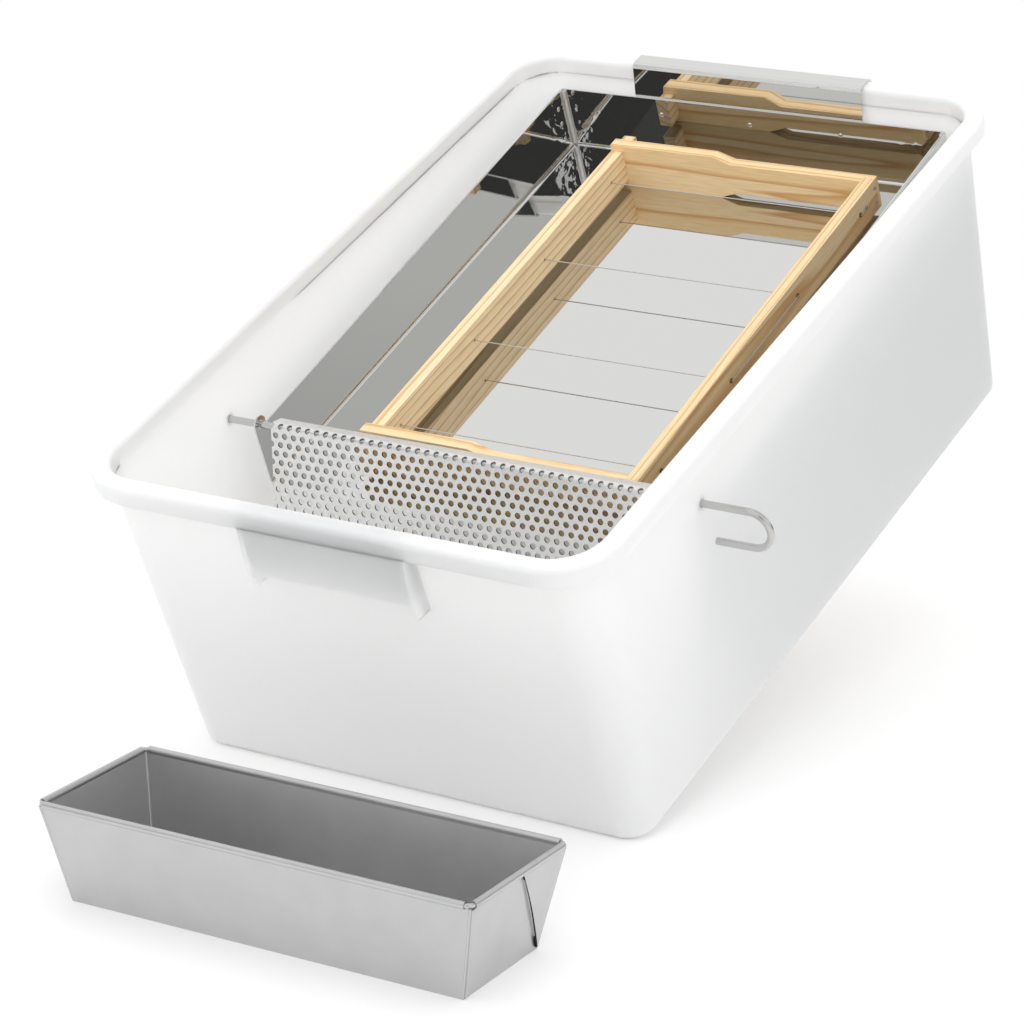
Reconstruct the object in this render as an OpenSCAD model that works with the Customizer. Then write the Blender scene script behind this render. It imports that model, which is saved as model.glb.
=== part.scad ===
// Solar wax melter: a tilted plastic tub with a mirror steel tray, a perforated strainer,
// a comb frame lying in the tray and a folded tin for the clean wax.
// The tub is drawn level, with its front bottom edge on the X axis, and is then tilted about it.

/* [Tub] */
// Outer width over the rim
rim_w = 400; // [360:1:440]
// How much longer the tub is over its rim than the comb frame it takes
rim_room = 233; // [220:1:260]
// Height of the rim above the base, square to the base
tub_h = 240.5; // [230:0.5:260]
// How far the rim overhangs the front bottom edge
front_overhang = 30; // [26:1:36]
// Width of the base
base_w = 356; // [330:1:366]
// How much shorter the base is than the rim
base_in = 43; // [38:1:55]
// Width of the flat band on top of the rim
rim_band = 14; // [12:0.5:18]
// Depth of the skirt that hangs from the rim
rim_skirt = 14.5; // [10:0.5:20]
// Radius of the rim's outer shoulder
rim_round = 5; // [3:0.5:6]
// Inner corner radius of the rim
mouth_r = 30; // [20:1:45]
// Corner radius of the base
base_r = 20; // [12:1:30]
// Radius between the base and the walls
foot_r = 8; // [5:0.5:12]
// Thickness of the walls and the base
wall_t = 3; // [2.4:0.1:4]
// Angle of the tub when it faces the sun
tilt = 19.7; // [16:0.1:23]

/* [Grip] */
// Width of the moulded grip under the rim at each end
grip_w = 128; // [100:1:180]
// Depth of the grip skirt below the rim skirt
grip_drop = 35.5; // [25:0.5:60]
// How far the ribs at the grip's ends reach below the skirt
grip_rib = 12; // [6:1:20]

/* [Support block] */
// Width of the timber block under the rear of the tub
block_w = 96; // [80:1:130]
// Depth of the block
block_d = 56; // [40:1:80]
// Distance from the block to the tub's raised rear edge, on the ground
block_back = 129; // [80:1:180]

/* [Rod] */
// Diameter of the rod
rod_d = 5; // [4:0.1:6]
// Distance of the rod from the tub's front bottom edge
rod_y = 124.3; // [110:0.1:140]
// Height of the rod above the tub's base
rod_z = 188.4; // [184:0.1:195]
// Centre line radius of the rod's handle bend
handle_r = 14; // [11:0.5:18]
// Clear length of the handle outside the tub wall
handle_reach = 33; // [25:1:45]
// Angle of the handle bend
handle_angle = 180; // [160:1:180]
// Length of the straight that returns to the wall
handle_return = 27; // [15:1:28]
// Radial play of the rod in the tub walls
rod_play = 0.5; // [0.3:0.05:0.8]

/* [Tray] */
// Outer width of the tray
tray_w = 320; // [300:1:330]
// Distance of the tray's front edge from the tub's front bottom edge
tray_y = 120.5; // [118:0.5:122]
// Height of the tray's front edge above the tub's base
tray_z = 141; // [138:0.5:144]
// Play between the back of the tray and the tub's mouth
tray_play = 2; // [1.8:0.1:3]
// Slope of the tray floor against the tub's base
tray_pitch = 3.2; // [2.5:0.1:3.8]
// Height of the side walls at the front
wall_front_h = 44.5; // [43:0.5:48]
// Height of the side walls at the back
wall_back_h = 50; // [47:0.5:54]
// Thickness of the tray sheet
sheet_t = 1; // [0.8:0.1:1.2]
// Inner radius of the folds
fold_r = 3; // [2:0.5:4]
// Height of the folded hem along the top edges
hem_h = 6; // [4:0.5:9]
// Radius of the ear that the rod passes through
ear_r = 6.2; // [6:0.1:8]

/* [Hanger] */
// Width of the strip that hooks the tray to the rear rim
hanger_w = 190; // [150:1:240]
// Length of the strip that lies against the back wall
hanger_lap = 26; // [20:1:34]
// Length of the lip behind the rim
hanger_lip = 10; // [6:0.5:14]
// Diameter of the rivet heads
rivet_d = 4; // [3.2:0.1:5]

// Play between the hanger's lip and the rim
lip_play = 1; // [0.8:0.1:1.5]

/* [Strainer] */
// Width of the perforated strainer
strainer_w = 295; // [270:1:300]
// Length of the strainer below the rod
strainer_h = 68; // [60:1:75]
// Thickness of the strainer sheet
strainer_t = 1; // [0.8:0.1:1.2]
// Diameter of the holes
hole_d = 4.3; // [3.5:0.1:5]
// Distance between the holes in a row
hole_pitch = 7.45; // [7:0.05:9]
// Length of the flange behind the rod
strainer_flange = 8; // [6:0.5:10]
// Angle between the hanging sheet and the square to the tub's base
hang_lean = 17; // [15:0.5:20]

/* [Comb frame] */
// Length of the frame over its side bars
frame_l = 370; // [350:1:410]
// Length of a side bar
side_l = 216; // [200:1:226]
// Width of a side bar at its shoulders
side_wide = 35; // [33:0.5:37]
// Width of the narrow stretch of a side bar and of the top and bottom bars
side_narrow = 25; // [22:0.5:27]
// Length of the wide stretch of a side bar
shoulder_l = 87; // [70:1:100]
// Length of the slope between the two widths
shoulder_slope = 14; // [8:1:20]
// Thickness of a side bar
side_t = 9; // [8:0.5:11]
// Thickness of the top bar at its edges
top_t = 10; // [9:0.5:12]
// Length of the lug at each end of the top bar
lug_l = 12; // [8:0.5:12]
// Thickness of the bottom bar
bottom_t = 9; // [7:0.5:11]
// Depth of the half laps where the bars join
lap_d = 5; // [4:0.5:6]
// Distance of the outer wires from the frame's ends
wire_margin = 32; // [26:0.5:45]
// Diameter of the wire
wire_d = 0.8; // [0.6:0.05:1]
// Outer diameter of the brass eyelets
eyelet_d = 3.6; // [3:0.1:4.4]
// Distance of the frame from the tray's front edge
frame_y = 30.5; // [30:0.5:36]
// Distance of the frame's top bar from the middle of the tray
frame_x = 95.5; // [80:0.5:100]

/* [Wax tin] */
// Length of the tin over its rim
tin_l = 313; // [280:1:340]
// Width of the tin over its rim
tin_w = 114; // [95:1:125]
// Height of the tin
tin_h = 68.5; // [55:0.5:80]
// How much each side leans in from the rim to the base
tin_taper = 13; // [8:0.5:16]
// Thickness of the tin sheet
tin_t = 0.8; // [0.6:0.05:1]
// Diameter of the wire inside the rolled rim
rim_wire_d = 3; // [2.5:0.1:3.6]
// Position of the tin's middle across the tub
tin_x = 63.5; // [40:0.5:80]
// Distance of the tin's middle in front of the tub's front bottom edge
tin_y = 218.5; // [200:0.5:235]
// Small turn of the tin on the ground
tin_turn = 1.6; // [0:0.1:3]

/* [Hidden] */
$fn = 96;
// Overlap that makes cuts run clean past a face
eps = 0.01;
// Overlap that joins two stretches of one sheet
lap = 0.1;
// Reach of a cutter that has to clear the whole part
far = 900;
// Thickness of the slices that the tapered shells are lofted through
slice = 0.02;
// Facets of a lofted corner
loft_fn = 80;

// Tub shell, drawn level
rim_l = frame_l + rim_room;
base_l = rim_l - base_in;
neck_z = tub_h - rim_skirt;
mouth_w = rim_w - 2 * rim_band;
mouth_front = rim_band - front_overhang;
mouth_back = rim_l - front_overhang - rim_band;
neck_in = 0.4;
neck_out = wall_t - neck_in;
neck_r = mouth_r + neck_out;
foot_steps = 5;
grip_tip = neck_z - grip_drop - grip_rib;
grip_sink = 1;
rib_chamfer = 3;

// Resting height: the front foot radius stands on the ground
lift = foot_r * (1 - sin(tilt) - cos(tilt));
block_y = base_l * cos(tilt) - block_back - block_d;

// Rod and handle
rod_hole_d = rod_d + 2 * rod_play;
rod_wall_x = half_width(rod_z);
handle_x = rod_wall_x + handle_reach;
rod_tip_x = -half_width(rod_z) - 1.5;
rod_fn = 48;

// Tray
tray_l = (mouth_back - tray_play - tray_y) / cos(tray_pitch);
wall_high = 70;
back_fold_r = fold_r - 0.5;
hem_t = sheet_t;
hem_drop = 0.4;
hem_end = 1;
ear_back = rod_y - tray_y + ear_r + 4;

// Hanger, in the level tub frame
hanger_t = sheet_t;
bend_above = 2;
hook_play = 0.9;
back_low = tray_point(tray_l + hanger_t / 2, wall_back_h - hanger_lap);
back_bend = tray_point(tray_l + hanger_t / 2, wall_back_h + bend_above);
hook_front = mouth_back - hook_play - hanger_t / 2;
hook_back = mouth_back + rim_band + lip_play + hanger_t / 2;
hook_top = tub_h + hanger_t / 2;
hook_r = 3.5;
hanger_rivet_x = [for (i = [-1:1]) i * (hanger_w / 2 - 20)];

// Rivets
rivet_shank = rivet_d * 0.6;
rivet_play = 0.1;
rivet_head_h = 0.8;
rivet_dome = (pow(rivet_d / 2, 2) + pow(rivet_head_h, 2)) / (2 * rivet_head_h);
rivet_reach = 8;
corner_rivet_z = [for (k = [0.27, 0.58, 0.88]) k * (wall_back_h - hem_h)];
corner_rivet_y = 12;

// Strainer
row_pitch = hole_pitch * sin(60);
first_row = 4.3;
hole_phase = -2.1;
strainer_rows = floor((strainer_h - first_row - hole_d / 2) / row_pitch) + 1;
strainer_cols = ceil(strainer_w / hole_pitch / 2) + 1;
curl_r = rod_d / 2 + 0.4 + strainer_t / 2;
// Angle from the top of the bend back to the row of holes on it
bend_row = 90 - (row_pitch - first_row) / curl_r * 180 / PI;

// Comb frame, drawn flat: x from the top bar to the bottom bar, y along the wires' ladder
narrow_z = (side_wide - side_narrow) / 2;
mid_z = side_wide / 2;
wire_pitch = (frame_l - 2 * wire_margin) / 3;
wire_y = [for (i = [-1.5:1:1.5]) frame_l / 2 + i * wire_pitch];
bar_in = side_t - lap_d;
eyelet_t = 0.5;
eyelet_tube_d = eyelet_d - 2 * eyelet_t;
eyelet_l = 6;
wire_play = 0.6;
wire_bore_d = wire_d + 2 * wire_play;
wire_out = eyelet_t + wire_d / 2;
tack_y = wire_y[3] + 9;
tack_d = 1;
tack_l = 6;
tack_side = (tack_d + wire_d) / 2 + 0.05;
tack_stand = wire_out + wire_d / 2;
nail_d = 1.4;
nail_head_d = 3.2;
nail_head_t = 0.6;
nail_l = 18;
nail_play = 0.1;
nail_apart = 12;

// Tin
curl_t = 0.7;
curl_gap = 0.15;
curl_out = rim_wire_d / 2 + curl_gap + curl_t;
tin_corner = 6;
rim_turn = 4.5;
flap_t = 2 * tin_t;
flap_sink = tin_t / 2;
flap_inset = 0.8;
front_flap = 0.32;
rear_flap = 0.08;
tin_rim_z = tin_h - curl_out;

// The whole part is moved so that its box stands centred on the origin
left_x = -rim_w / 2;
right_x = handle_x + handle_r + rod_d / 2;
front_y = -tin_y - (tin_w / 2 - curl_out) * cos(tin_turn)
    - (tin_l / 2 - tin_corner) * sin(tin_turn) - curl_out;
back_y = (base_l - foot_r) * cos(tilt) - foot_r * sin(tilt) + foot_r;
shift = [-(left_x + right_x) / 2, -(front_y + back_y) / 2, 0];

function mix(a, b, k) = a + (b - a) * k;
// Points of a bend about a centre, from one angle to another
function bend(c, r, from, to) = [for (k = [0:0.5:1]) c + r * [cos(mix(from, to, k)), sin(mix(from, to, k))]];
// Outer half width of the tub wall at a height
function half_width(z) = mix(base_w / 2, mouth_w / 2 + neck_out, z / neck_z);
// Outer front and back of the tub wall at a height
function wall_lean_front(z) = -mix(0, mouth_front - neck_out, z / neck_z);
function wall_back(z) = mix(base_l, mouth_back + neck_out, z / neck_z);
function corner_radius(z) = mix(base_r, neck_r, z / neck_z);
// A point of the tray's side view, in the level tub frame
function tray_point(y, z) = [tray_y + y * cos(tray_pitch) - z * sin(tray_pitch),
    tray_z + y * sin(tray_pitch) + z * cos(tray_pitch)];

// Puts what is drawn in the level tub frame in its tilted place
module in_tub() translate(shift + [0, 0, lift]) rotate([tilt, 0, 0]) children();
module in_tray() in_tub() translate([0, tray_y, tray_z]) rotate([tray_pitch, 0, 0]) children();
module in_frame() in_tray() translate([-frame_x, frame_y, sheet_t]) children();
module on_ground() translate(shift) children();
module in_tin() on_ground() translate([tin_x, -tin_y, 0]) rotate([0, 0, tin_turn]) children();
// Extrudes a side view, drawn as (y, z), over a width across the tub
module across(w, from = undef) translate([is_undef(from) ? -w / 2 : from, 0, 0])
    rotate([90, 0, 90]) linear_extrude(w) children();

// A plate of even thickness that follows a list of points, with round bends
module bent_strip(points, t) {
    for (i = [0:len(points) - 2]) {
        d = points[i + 1] - points[i];
        translate(points[i]) rotate(atan2(d.y, d.x)) translate([0, -t / 2]) square([norm(d), t]);
    }
    for (p = points) translate(p) circle(d = t, $fn = 32);
}

// A fillet for an inside corner, sunk into both faces by the overlap
module cove(r, l) difference() {
    translate([-lap, -lap, 0]) cube([r + lap, r + lap, l]);
    translate([r, r, -eps]) cylinder(r = r, h = l + 2 * eps, $fn = 48);
}

// One slice of the tub shell, drawn in from the outline by an inset
module tub_slice(z, inset) {
    r = max(corner_radius(z) - inset, 1);
    hx = half_width(z) - inset - r;
    for (x = [-hx, hx], y = [-wall_lean_front(z) + inset + r, wall_back(z) - inset - r])
        translate([x, y, z]) cylinder(r = r, h = slice, $fn = loft_fn);
}

// The tub's solid form between its base and a height, with a rounded foot
module tub_form(inset, z_low, z_high, r) hull() {
    for (i = [0:foot_steps]) {
        a = 90 * i / foot_steps;
        tub_slice(z_low + r * (1 - cos(a)), inset + r * (1 - sin(a)));
    }
    tub_slice(z_high - slice, inset);
}

// Side view of the rim: a rolled shoulder with a hanging skirt
module rim_profile() difference() {
    union() {
        translate([0, neck_z]) square([rim_band, rim_skirt - rim_round]);
        translate([rim_round, neck_z]) square([rim_band - 2 * rim_round, rim_skirt]);
        for (x = [rim_round, rim_band - rim_round])
            translate([x, tub_h - rim_round]) circle(r = rim_round, $fn = 48);
    }
    translate([wall_t, neck_z - 1]) square([rim_band - 2 * wall_t, rim_skirt + 1 - wall_t - 1]);
}

// The rim is swept round the mouth: four straight runs and four quarter turns
module rim() {
    x0 = mouth_w / 2 - mouth_r;
    y0 = mouth_front + mouth_r;
    y1 = mouth_back - mouth_r;
    for (s = [[x0, y1, 0], [-x0, y1, 90], [-x0, y0, 180], [x0, y0, 270]])
        translate([s[0], s[1], 0]) rotate([0, 0, s[2]])
            rotate_extrude(angle = 90) translate([mouth_r, 0]) rim_profile();
    for (m = [0, 1]) mirror([m, 0, 0])
        translate([mouth_w / 2, y1, 0]) rotate([90, 0, 0]) linear_extrude(y1 - y0) rim_profile();
    translate([-x0, mouth_back, 0]) rotate([90, 0, 90]) linear_extrude(2 * x0) rim_profile();
    translate([x0, mouth_front, 0]) rotate([90, 0, -90]) linear_extrude(2 * x0) rim_profile();
}

// The grip, drawn back from the rim's outer face: a skirt flush with the rim's, and a rib at each
// end that reaches below it and back to the wall
module grip(reach_top, reach_tip) {
    translate([-grip_w / 2, 0, neck_z - grip_drop]) cube([grip_w, wall_t, grip_drop]);
    translate([-grip_w / 2, 0, neck_z - wall_t]) cube([grip_w, reach_top + grip_sink, wall_t]);
    for (x = [-grip_w / 2, grip_w / 2 - wall_t])
        across(wall_t, x)
            polygon([[0, neck_z], [0, grip_tip + rib_chamfer], [rib_chamfer, grip_tip],
                [reach_tip + grip_sink, grip_tip], [reach_top + grip_sink, neck_z]]);
}

module tub() color("WhiteSmoke") in_tub() difference() {
    union() {
        difference() {
            tub_form(0, 0, neck_z, foot_r);
            tub_form(wall_t, wall_t, neck_z + 1, foot_r - wall_t);
        }
        translate([0, -front_overhang, 0])
            grip(front_overhang - wall_lean_front(neck_z), front_overhang - wall_lean_front(grip_tip));
        translate([0, rim_l - front_overhang, 0]) mirror([0, 1, 0])
            grip(rim_l - front_overhang - wall_back(neck_z), rim_l - front_overhang - wall_back(grip_tip));
    }
    // Rod holes in both walls
    translate([-rim_w / 2, rod_y, rod_z]) rotate([0, 90, 0]) cylinder(d = rod_hole_d, h = rim_w);
}

// The rim stands on the shell's neck
module tub_rim() color("WhiteSmoke") in_tub() rim();

// A plain timber block carries the rear of the tub and gives it its slope
module support_block() color("BurlyWood") difference() {
    on_ground() translate([-block_w / 2, block_y, 0]) cube([block_w, block_d, far / 3]);
    in_tub() translate([-far / 2, 0, 0]) cube([far, far, far]);
}

// A straight rod through both walls, bent back into a handle outside the right wall.
// It is drawn from the place where the bend starts.
module support_rod() color("Silver") in_tub() translate([handle_x, rod_y, rod_z]) {
    rotate([0, -90, 0]) cylinder(d = rod_d, h = handle_x - rod_tip_x, $fn = rod_fn);
    translate([0, 0, -handle_r]) rotate([-90, 0, 0]) rotate([0, 0, -90])
        rotate_extrude(angle = handle_angle) translate([handle_r, 0]) circle(d = rod_d, $fn = rod_fn);
    translate([0, 0, -handle_r]) rotate([0, handle_angle - 90, 0]) translate([handle_r, 0, 0])
        rotate([180, 0, 0]) cylinder(d = rod_d, h = handle_return, $fn = rod_fn);
}

// Side view of the tray: walls that rise to the back, and an ear at the front for the rod
module tray_side() difference() {
    union() {
        polygon([[0, 0], [tray_l, 0], [tray_l, wall_back_h], [0, wall_front_h]]);
        at_rod() circle(r = ear_r);
        at_rod() translate([-ear_r, -ear_r - hem_h]) square([2 * ear_r, ear_r + hem_h]);
    }
    at_rod() circle(d = rod_hole_d);
}

// Puts what is drawn in the tray's side view on the rod's axis, upright in the tub
module at_rod() rotate(-tray_pitch) translate([rod_y - tray_y, rod_z - tray_z]) children();

// Hem: the top edge is folded over and pressed flat against the outside
module hem_side() polygon([[ear_back, wall_front_h - hem_h], [tray_l - hem_end, wall_back_h - hem_h],
    [tray_l - hem_end, wall_back_h - hem_drop], [ear_back, wall_front_h - hem_drop]]);

module wax_tray() color("Silver") difference() {
    in_tray() {
        intersection() {
            across(tray_w) tray_side();
            difference() {
                along(-ear_r, tray_l + ear_r) channel(0);
                along(-2 * ear_r, tray_l + 2 * ear_r - sheet_t) channel(sheet_t);
            }
        }
        for (x = [-tray_w / 2 - hem_t, tray_w / 2]) across(hem_t, x) hem_side();
        // Rounded fold along the back of the floor
        translate([-tray_w / 2 + sheet_t / 2, tray_l - sheet_t, sheet_t]) rotate([90, 0, 90])
            mirror([1, 0, 0]) cove(back_fold_r, tray_w - sheet_t);
    }
    at_hanger_rivets() rivet_hole();
    at_corner_rivets() rivet_hole();
}

// Extrudes a cross section along the tray from a place on, for a length
module along(from, l) translate([0, from + l, 0]) rotate([90, 0, 0]) linear_extrude(l) children();

// Cross section of the tray, or of its hollow when drawn in by the sheet
module channel(inset) {
    r = fold_r + sheet_t - inset;
    hw = tray_w / 2 - inset;
    translate([-hw + r, inset]) square([2 * (hw - r), r]);
    translate([-hw, inset + r]) square([2 * hw, wall_high]);
    for (x = [-hw + r, hw - r]) translate([x, inset + r]) circle(r = r, $fn = 64);
}

// A strip behind the back wall, bent up and over the rear rim
module rear_hanger() color("Gainsboro") difference() {
    in_tub() across(hanger_w)
        bent_strip(concat([back_low, back_bend],
            bend([hook_front + hook_r, hook_top - hook_r], hook_r, 180, 90),
            bend([hook_back - hook_r, hook_top - hook_r], hook_r, 90, 0),
            [[hook_back, hook_top - hanger_lip]]), hanger_t);
    at_hanger_rivets() rivet_hole();
}

// A rivet across the sheets, with a low round head on each side
module rivet(grip_len) {
    translate([0, 0, -grip_len / 2 - rivet_head_h / 2])
        cylinder(d = rivet_shank, h = grip_len + rivet_head_h, $fn = 24);
    for (m = [0, 1]) mirror([0, 0, m]) translate([0, 0, grip_len / 2]) intersection() {
        translate([0, 0, rivet_head_h - rivet_dome]) sphere(r = rivet_dome, $fn = 48);
        cylinder(d = rivet_d, h = rivet_dome, $fn = 48);
    }
}
module rivet_hole() translate([0, 0, -rivet_reach / 2])
    cylinder(d = rivet_shank + rivet_play, h = rivet_reach, $fn = 24);

// Rivet places: through the hanger and the back wall, and through the side walls near the back
module at_hanger_rivets() in_tray() for (x = hanger_rivet_x)
    translate([x, tray_l + (hanger_t - sheet_t) / 2, wall_back_h - hanger_lap / 2])
        rotate([90, 0, 0]) children();
module at_corner_rivets() in_tray() for (s = [-1, 1], z = corner_rivet_z)
    translate([s * (tray_w - sheet_t) / 2, tray_l - corner_rivet_y, z]) rotate([0, 90, 0]) children();

module hanger_rivets() color("Silver") at_hanger_rivets() rivet(sheet_t + hanger_t);
module corner_rivets() color("Silver") at_corner_rivets() rivet(sheet_t);

// Perforated sheet, hung over the rod and free to swing on it
module strainer() color("LightGray") in_tub() translate([0, rod_y, rod_z])
    rotate([-hang_lean, 0, 0]) difference() {
        union() {
            translate([0, strainer_t / 2 - curl_r, 0]) rotate([90, 0, 0]) linear_extrude(strainer_t)
                perforated_sheet();
            across(strainer_w) curl_profile();
        }
        // The next row of holes falls on the bend
        for (i = [-strainer_cols:strainer_cols])
            translate([hole_phase + (i + 0.5) * hole_pitch, 0, 0]) rotate([bend_row, 0, 0])
                cylinder(d = hole_d, h = curl_r + strainer_t, $fn = 24);
    }

// Staggered holes on a sixty degree grid; the ends of the sheet run through them
module perforated_sheet() difference() {
    translate([-strainer_w / 2, -strainer_h]) square([strainer_w, strainer_h]);
    for (j = [0:strainer_rows - 1], i = [-strainer_cols:strainer_cols])
        translate([hole_phase + (i + (j % 2) / 2) * hole_pitch, -first_row - j * row_pitch])
            circle(d = hole_d, $fn = 24);
}

// Side view of the bend over the rod, with the start of the sheet and the flange behind
module curl_profile() {
    intersection() {
        difference() {
            circle(r = curl_r + strainer_t / 2, $fn = 64);
            circle(r = curl_r - strainer_t / 2, $fn = 64);
        }
        translate([-2 * curl_r, 0]) square(2 * curl_r);
    }
    translate([0, curl_r - strainer_t / 2]) square([strainer_flange, strainer_t]);
    translate([-curl_r - strainer_t / 2, -lap]) square([strainer_t, lap]);
}

// Flat outline of a side bar: wide shoulders at the top bar's end, then a narrow stretch
module side_outline() polygon([[0, 0], [shoulder_l, 0], [shoulder_l + shoulder_slope, narrow_z],
    [side_l, narrow_z], [side_l, side_wide - narrow_z], [shoulder_l + shoulder_slope, side_wide - narrow_z],
    [shoulder_l, side_wide], [0, side_wide]]);

// A side bar with a slot for the top bar's lug and a half lap for the bottom bar
module side_bar() difference() {
    rotate([90, 0, 0]) translate([0, 0, -side_t]) linear_extrude(side_t) side_outline();
    translate([-eps, -eps, narrow_z]) cube([top_t + eps, side_t + 2 * eps, side_narrow]);
    translate([side_l - bottom_t, bar_in, -eps]) cube([bottom_t + eps, side_t, side_wide]);
}

module frame_side_bar_front() color("BurlyWood") in_frame() difference() {
    side_bar();
    nail_holes();
}
module frame_side_bar_rear() color("BurlyWood") in_frame() difference() {
    translate([0, frame_l, 0]) mirror([0, 1, 0]) side_bar();
    nail_holes();
}

// Holes for the wires, widened outside for the eyelets; drawn from a bar's outer face inwards
module wire_bore(l) {
    translate([0, 0, -eps]) cylinder(d = wire_bore_d, h = l + 2 * eps, $fn = 24);
    translate([0, 0, -eps]) cylinder(d = eyelet_tube_d + nail_play, h = eyelet_l + nail_play, $fn = 24);
}

module frame_top_bar() color("BurlyWood") in_frame() difference() {
    translate([0, -lug_l, narrow_z]) cube([top_t, frame_l + 2 * lug_l, side_narrow]);
    at_top_eyelets() wire_bore(top_t);
    nail_holes();
}

module frame_bottom_bar() color("BurlyWood") in_frame() difference() {
    translate([side_l - bottom_t, bar_in, narrow_z]) cube([bottom_t, frame_l - 2 * bar_in, side_narrow]);
    at_bottom_eyelets() wire_bore(bottom_t);
    nail_holes();
    at_tack() cylinder(d = tack_d + nail_play, h = tack_l + nail_play, $fn = 16);
}

// One wire laced to and fro: four strands, and short runs outside the two bars
module frame_wire() color("DimGray") in_frame() {
    x0 = -wire_out;
    x1 = side_l + wire_out;
    for (y = wire_y) translate([x0, y, mid_z]) rotate([0, 90, 0])
        cylinder(d = wire_d, h = x1 - x0, $fn = 16);
    for (k = [[x0, 0], [x1, 1], [x0, 2]]) translate([k[0], wire_y[k[1]], mid_z]) rotate([-90, 0, 0])
        cylinder(d = wire_d, h = wire_pitch, $fn = 16);
    for (k = [[x0, 0], [x1, 1], [x0, 2], [x0, 1], [x1, 2], [x0, 3]])
        translate([k[0], wire_y[k[1]], mid_z]) sphere(d = wire_d, $fn = 16);
    translate([x1, wire_y[3], mid_z]) rotate([-90, 0, 0])
        cylinder(d = wire_d, h = tack_y - wire_y[3], $fn = 16);
    translate([x1, wire_y[3], mid_z]) sphere(d = wire_d, $fn = 16);
}

// A brass eyelet: a tube in the hole with a flat collar, and a bore that the wire passes
module eyelet() difference() {
    union() {
        cylinder(d = eyelet_tube_d, h = eyelet_l, $fn = 24);
        translate([0, 0, -eyelet_t]) cylinder(d = eyelet_d, h = eyelet_t, $fn = 24);
    }
    translate([0, 0, -1]) cylinder(d = wire_d + wire_play, h = eyelet_l + 2, $fn = 24);
}
module at_top_eyelets() for (y = wire_y) translate([0, y, mid_z]) rotate([0, 90, 0]) children();
module at_bottom_eyelets() for (y = wire_y) translate([side_l, y, mid_z]) rotate([0, -90, 0]) children();

module top_bar_eyelets() color("Goldenrod") in_frame() at_top_eyelets() eyelet();
module bottom_bar_eyelets() color("Goldenrod") in_frame() at_bottom_eyelets() eyelet();

// A nail or tack: a flat head on a round shank
module nail(d, l, head_d) {
    cylinder(d = d, h = l, $fn = 16);
    translate([0, 0, -nail_head_t]) cylinder(d = head_d, h = nail_head_t, $fn = 24);
}
module at_top_nails() for (y = [side_t / 2, frame_l - side_t / 2])
    translate([0, y, mid_z]) rotate([0, 90, 0]) children();
module at_bottom_nails() for (y = [(bar_in + side_t) / 2, frame_l - (bar_in + side_t) / 2],
        z = [mid_z - nail_apart / 2, mid_z + nail_apart / 2])
    translate([side_l, y, z]) rotate([0, -90, 0]) children();
module at_tack() translate([side_l, tack_y, mid_z + tack_side]) rotate([0, -90, 0]) children();
module nail_holes() {
    at_top_nails() cylinder(d = nail_d + nail_play, h = nail_l + nail_play, $fn = 16);
    at_bottom_nails() cylinder(d = nail_d + nail_play, h = nail_l + nail_play, $fn = 16);
}

module top_bar_nails() color("Silver") in_frame() at_top_nails() nail(nail_d, nail_l, nail_head_d);
module bottom_bar_nails() color("Silver") in_frame() at_bottom_nails() nail(nail_d, nail_l, nail_head_d);
module wire_tack() color("Silver") in_frame() at_tack() translate([0, 0, -tack_stand])
    nail(tack_d, tack_l + tack_stand, nail_head_d);

// The tin's solid form: a box that leans in to its base, drawn in by an inset
module tin_form(inset, z0) hull() {
    translate([-tin_l / 2 + curl_out + tin_taper + inset, -tin_w / 2 + curl_out + tin_taper + inset, z0])
        cube([tin_l - 2 * (curl_out + tin_taper + inset), tin_w - 2 * (curl_out + tin_taper + inset), slice]);
    translate([-tin_l / 2 + curl_out + inset, -tin_w / 2 + curl_out + inset, tin_rim_z])
        cube([tin_l - 2 * (curl_out + inset), tin_w - 2 * (curl_out + inset), slice]);
}

// The end walls are closed by two folded flaps, each a triangle that runs to a point at the base
module end_flaps() {
    lean = atan2(tin_taper, tin_rim_z);
    slant = tin_rim_z / cos(lean) - curl_out;
    half_top = tin_w / 2 - curl_out - flap_inset;
    half_low = half_top - tin_taper;
    for (m = [0, 1]) mirror([m, 0, 0])
        translate([tin_l / 2 - curl_out - tin_taper, 0, 0]) rotate([0, lean, 0])
            rotate([90, 0, 90]) translate([0, 0, -flap_sink]) linear_extrude(flap_t) {
                polygon([[-half_low, flap_inset], [-half_top * front_flap, slant], [-half_top, slant]]);
                polygon([[half_low, flap_inset], [half_top, slant], [half_top * rear_flap, slant]]);
            }
}

// A round bar of any radius along the rim's centre line
module rim_path(r) {
    hx = tin_l / 2 - curl_out;
    hy = tin_w / 2 - curl_out;
    translate([0, 0, tin_rim_z]) {
        for (s = [-1, 1]) {
            translate([-hx + rim_turn, s * hy, 0]) rotate([0, 90, 0])
                cylinder(r = r, h = 2 * (hx - rim_turn), $fn = 32);
            translate([s * hx, -hy + rim_turn, 0]) rotate([-90, 0, 0])
                cylinder(r = r, h = 2 * (hy - rim_turn), $fn = 32);
        }
        for (q = [[1, 1, 0], [-1, 1, 90], [-1, -1, 180], [1, -1, 270]])
            translate([q[0] * (hx - rim_turn), q[1] * (hy - rim_turn), 0]) rotate([0, 0, q[2]])
                rotate_extrude(angle = 90) translate([rim_turn, 0]) circle(r = r, $fn = 32);
    }
}

// The rolled rim runs along the four sides and is open at the corners
module rim_rolls() translate([0, 0, tin_rim_z]) for (s = [-1, 1]) {
    translate([-tin_l / 2 + tin_corner, s * (tin_w / 2 - curl_out), 0]) rotate([0, 90, 0])
        cylinder(r = curl_out, h = tin_l - 2 * tin_corner, $fn = 32);
    translate([s * (tin_l / 2 - curl_out), -tin_w / 2 + tin_corner, 0]) rotate([-90, 0, 0])
        cylinder(r = curl_out, h = tin_w - 2 * tin_corner, $fn = 32);
}

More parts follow.
